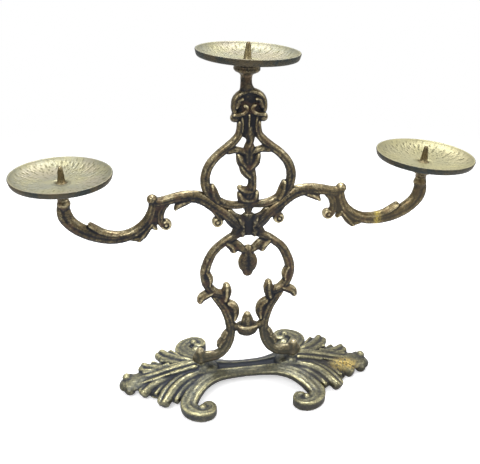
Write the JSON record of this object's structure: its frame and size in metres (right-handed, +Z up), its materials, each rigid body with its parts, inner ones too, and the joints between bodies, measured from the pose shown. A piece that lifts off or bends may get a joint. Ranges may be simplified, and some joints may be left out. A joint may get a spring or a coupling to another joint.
{
  "type": "three-light pricket candelabra",
  "caption": "Cast brass candelabra: openwork lyre and ring stem on a leaf base with scroll feet, scrolled side arms and spiked round candle pans.",
  "frame": {"origin": "on the floor under the middle of the stem", "axes": "+X to the viewer's right along the arms, +Y to the back, +Z up"},
  "size_m": [0.4719, 0.1336, 0.3901],
  "materials": {
    "stem_brass": "dark aged patina with worn bright ridges",
    "base_brass": "half-polished aged brass",
    "pan_brass": "pale worn, hammered",
    "pricket_brass": "aged",
    "steel": "plain"
  },
  "bodies": {
    "frame": {"base_casting": "base_brass", "lyre_casting": "stem_brass", "ring_casting": "stem_brass", "left_arm": "stem_brass", "right_arm": "stem_brass", "left_arm_dowel": "steel", "right_arm_dowel": "steel", "crossing_stud": "steel", "base_screws": "steel", "base_washers": "steel", "top_cup": "stem_brass", "left_cup": "stem_brass", "right_cup": "stem_brass", "top_pricket": "pricket_brass", "left_pricket": "pricket_brass", "right_pricket": "pricket_brass"},
    "top_pan": {"top_pan": "pan_brass"},
    "left_pan": {"left_pan": "pan_brass"},
    "right_pan": {"right_pan": "pan_brass"}
  },
  "joints": [
    {"name": "top_pan_turn", "type": "hinge", "parent": "frame", "child": "top_pan", "pos_m": [-0.003, 0, 0.356], "axis": [0.0576, 0, 0.9983], "continuous": true},
    {"name": "left_pan_turn", "type": "hinge", "parent": "frame", "child": "left_pan", "pos_m": [-0.1855, 0, 0.243], "axis": [0.0262, 0, 0.9997], "continuous": true},
    {"name": "right_pan_turn", "type": "hinge", "parent": "frame", "child": "right_pan", "pos_m": [0.1855, 0, 0.243], "axis": [0.0628, 0, 0.998], "continuous": true}
  ]
}
